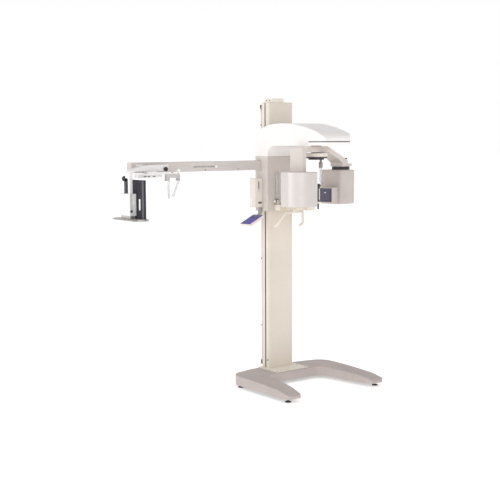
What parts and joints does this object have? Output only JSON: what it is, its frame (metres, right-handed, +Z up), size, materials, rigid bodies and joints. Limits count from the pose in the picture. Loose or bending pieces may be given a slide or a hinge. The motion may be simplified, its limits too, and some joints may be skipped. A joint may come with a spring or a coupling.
{
  "type": "panoramic dental x-ray machine",
  "caption": "Floor-standing dental X-ray machine: forked base, column with a lifting carriage, rotor carrying a film drum and tube head, and a long side arm with a head holder and cassette.",
  "frame": {"origin": "on the floor, at the centre of the rectangle of the four levelling feet", "axes": "+X to the right as seen from the front, +Y from the leg tips towards the column and the rear, +Z up"},
  "size_m": [1.751, 0.817, 2.075],
  "materials": {
    "base_paint": "textured powder coat",
    "frame_paint": "satin paint",
    "foot_plate_paint": "powder coat",
    "foot_steel": "zinc plated",
    "mast_aluminium": "dark anodised",
    "column_paint": "textured powder coat",
    "cap_plastic": "moulded",
    "belt_rubber": "toothless lift belt",
    "pulley_aluminium": "turned",
    "counterweight_iron": "painted casting",
    "motor_paint": "satin",
    "cable_black": "moulded",
    "cable_grey": "extruded sheath",
    "lift_steel": "sawn and drilled",
    "shoe_plastic": "low-friction plastic",
    "carriage_paint": "textured powder coat",
    "overhead_white": "satin",
    "pan_paint": "satin",
    "trim_dark": "inlaid strip",
    "spindle_metal": "turned, cream coated",
    "bracket_grey": "moulded",
    "clear_acrylic": "clear, polished edges",
    "chin_cream": "moulded",
    "bite_black": "moulded",
    "grip_cream": "dip coated tube",
    "control_plastic": "moulded",
    "rocker_black": "moulded",
    "bracket_steel": "plated",
    "keypad_plastic": "moulded",
    "membrane_purple": "printed film",
    "rotor_paint": "cast aluminium, powder coated",
    "drum_silver": "satin metallic",
    "receptor_dark": "film cassette carrier",
    "head_paint": "textured",
    "window_purple": "tinted window",
    "tube_metal": "tube housing",
    "swivel_dark": "moulded",
    "knob_black": "moulded",
    "arm_paint": "powder coat",
    "knob_white": "moulded",
    "neck_paint": "cast aluminium, powder coated",
    "ceph_white": "satin",
    "lever_dark": "steel rod with a moulded ball",
    "holder_black": "moulded",
    "tray_aluminium": "folded",
    "rail_paint": "powder coat",
    "hub_paint": "moulded",
    "nasion_white": "moulded"
  },
  "bodies": {
    "stand": {"base_frame": "frame_paint", "base_cover_left": "base_paint", "base_cover_right": "base_paint", "base_cover_cross": "base_paint", "column_foot_plate": "foot_plate_paint", "levelling_feet": "foot_steel", "mast_frame": "mast_aluminium", "column_front_cover": "column_paint", "column_rear_cover": "column_paint", "column_cap": "cap_plastic", "lift_belt": "belt_rubber", "lift_motor": "motor_paint", "cable_fittings": "cable_black", "mast_cable": "cable_grey"},
    "lower_pulley": {"lower_pulley": "pulley_aluminium"},
    "upper_pulley": {"upper_pulley": "pulley_aluminium"},
    "counterweight": {"counterweight": "counterweight_iron"},
    "carriage": {"lift_frame": "lift_steel", "guide_shoes": "shoe_plastic", "carriage_housing": "carriage_paint", "carriage_back_panel": "carriage_paint", "overhead_shell": "overhead_white", "overhead_pan": "pan_paint", "overhead_trim": "trim_dark", "spindle_disc": "spindle_metal", "slew_motor": "motor_paint", "head_bar_bracket": "bracket_grey", "head_bar": "clear_acrylic", "chin_support": "chin_cream", "hand_grip_bar": "grip_cream", "control_box": "control_plastic", "keypad_bracket": "bracket_steel", "ceph_arm": "arm_paint", "swan_neck": "neck_paint", "ceph_box": "ceph_white", "cassette_tray": "tray_aluminium", "ear_rail": "rail_paint"},
    "rotor": {"rotor_arm": "rotor_paint", "drum_shell": "drum_silver", "drum_plate": "drum_silver", "image_receptor": "receptor_dark"},
    "tube_head": {"tube_head_front": "head_paint", "tube_head_rear": "head_paint", "collimator": "window_purple", "xray_tube": "tube_metal", "swivel_disc": "swivel_dark"},
    "lock_knob": {"lock_knob": "knob_black"},
    "temple_left": {"temple_bar_left": "clear_acrylic"},
    "temple_right": {"temple_bar_right": "clear_acrylic"},
    "bite_post": {"bite_post": "bite_black"},
    "box_rocker": {"box_rocker": "rocker_black"},
    "keypad": {"keypad_housing": "keypad_plastic", "keypad_membrane": "membrane_purple"},
    "slide_knob": {"ceph_slide_knob": "knob_white"},
    "box_lever": {"box_lever": "lever_dark"},
    "cassette_holder": {"cassette_holder": "holder_black"},
    "ear_hub": {"ear_hub": "hub_paint", "nasion_support": "nasion_white"},
    "ear_rod_left": {"ear_rod_left": "clear_acrylic"},
    "ear_rod_right": {"ear_rod_right": "clear_acrylic"}
  },
  "joints": [
    {"name": "lift", "type": "slide", "parent": "stand", "child": "carriage", "axis": [0, 0, 1], "range_m": [-0.65, 0.1]},
    {"name": "counterweight_slide", "type": "slide", "parent": "stand", "child": "counterweight", "axis": [0, 0, 1], "range_m": [-0.1, 0.65]},
    {"name": "lower_pulley_spin", "type": "hinge", "parent": "stand", "child": "lower_pulley", "pos_m": [0, 0.361, 0.19], "axis": [1, 0, 0], "range_deg": [-200, 1260]},
    {"name": "upper_pulley_spin", "type": "hinge", "parent": "stand", "child": "upper_pulley", "pos_m": [0, 0.361, 1.975], "axis": [1, 0, 0], "range_deg": [-200, 1260]},
    {"name": "rotor_turn", "type": "hinge", "parent": "carriage", "child": "rotor", "pos_m": [0, -0.084, 1.71], "axis": [0, 0, 1], "range_deg": [-204, 12]},
    {"name": "tube_head_swivel", "type": "hinge", "parent": "rotor", "child": "tube_head", "pos_m": [0.28366, -0.02371, 1.59], "axis": [0, 0, 1], "range_deg": [-30, 0]},
    {"name": "lock_knob_turn", "type": "hinge", "parent": "rotor", "child": "lock_knob", "pos_m": [0.33061, -0.01373, 1.6], "axis": [0, 0, 1], "range_deg": [0, 90]},
    {"name": "temple_right_swing", "type": "hinge", "parent": "carriage", "child": "temple_right", "pos_m": [0.072, 0.264, 1.332], "axis": [0, 1, 0], "range_deg": [-12, 6]},
    {"name": "temple_left_swing", "type": "hinge", "parent": "carriage", "child": "temple_left", "pos_m": [-0.072, 0.264, 1.332], "axis": [0, 1, 0], "range_deg": [-6, 12]},
    {"name": "bite_post_height", "type": "slide", "parent": "carriage", "child": "bite_post", "axis": [0, 0, 1], "range_m": [0, 0.03]},
    {"name": "box_rocker_tip", "type": "hinge", "parent": "carriage", "child": "box_rocker", "pos_m": [-0.18, 0.336, 1.322], "axis": [0, 0, 1], "range_deg": [-6, 6]},
    {"name": "keypad_tilt", "type": "hinge", "parent": "carriage", "child": "keypad", "pos_m": [-0.16, 0.358, 1.23], "axis": [0, 1, 0], "range_deg": [-15, 30]},
    {"name": "slide_knob_travel", "type": "slide", "parent": "carriage", "child": "slide_knob", "axis": [1, 0, 0], "range_m": [-0.18, 0]},
    {"name": "box_lever_swing", "type": "hinge", "parent": "carriage", "child": "box_lever", "pos_m": [-1.274, 0.38, 1.412], "axis": [1, 0, 0], "range_deg": [-40, 0]},
    {"name": "cassette_slide", "type": "slide", "parent": "carriage", "child": "cassette_holder", "axis": [0, 1, 0], "range_m": [-0.015, 0.058]},
    {"name": "ear_hub_turn", "type": "hinge", "parent": "carriage", "child": "ear_hub", "pos_m": [-0.965, 0.276, 1.55], "axis": [0, 0, 1], "range_deg": [-90, 0]},
    {"name": "ear_rod_right_swing", "type": "hinge", "parent": "ear_hub", "child": "ear_rod_right", "pos_m": [-0.921, 0.27, 1.512], "axis": [0, 1, 0], "range_deg": [-30, 2]},
    {"name": "ear_rod_left_swing", "type": "hinge", "parent": "ear_hub", "child": "ear_rod_left", "pos_m": [-1.006, 0.27, 1.512], "axis": [0, 1, 0], "range_deg": [-2, 30]}
  ],
  "couplings": [
    {"joint": "counterweight_slide", "follows": "lift", "ratio": -1},
    {"joint": "lower_pulley_spin", "follows": "lift", "rad_per_m": -33.557},
    {"joint": "upper_pulley_spin", "follows": "lift", "rad_per_m": -33.557},
    {"joint": "temple_left_swing", "follows": "temple_right_swing", "ratio": -1},
    {"joint": "ear_rod_left_swing", "follows": "ear_rod_right_swing", "ratio": -1}
  ]
}
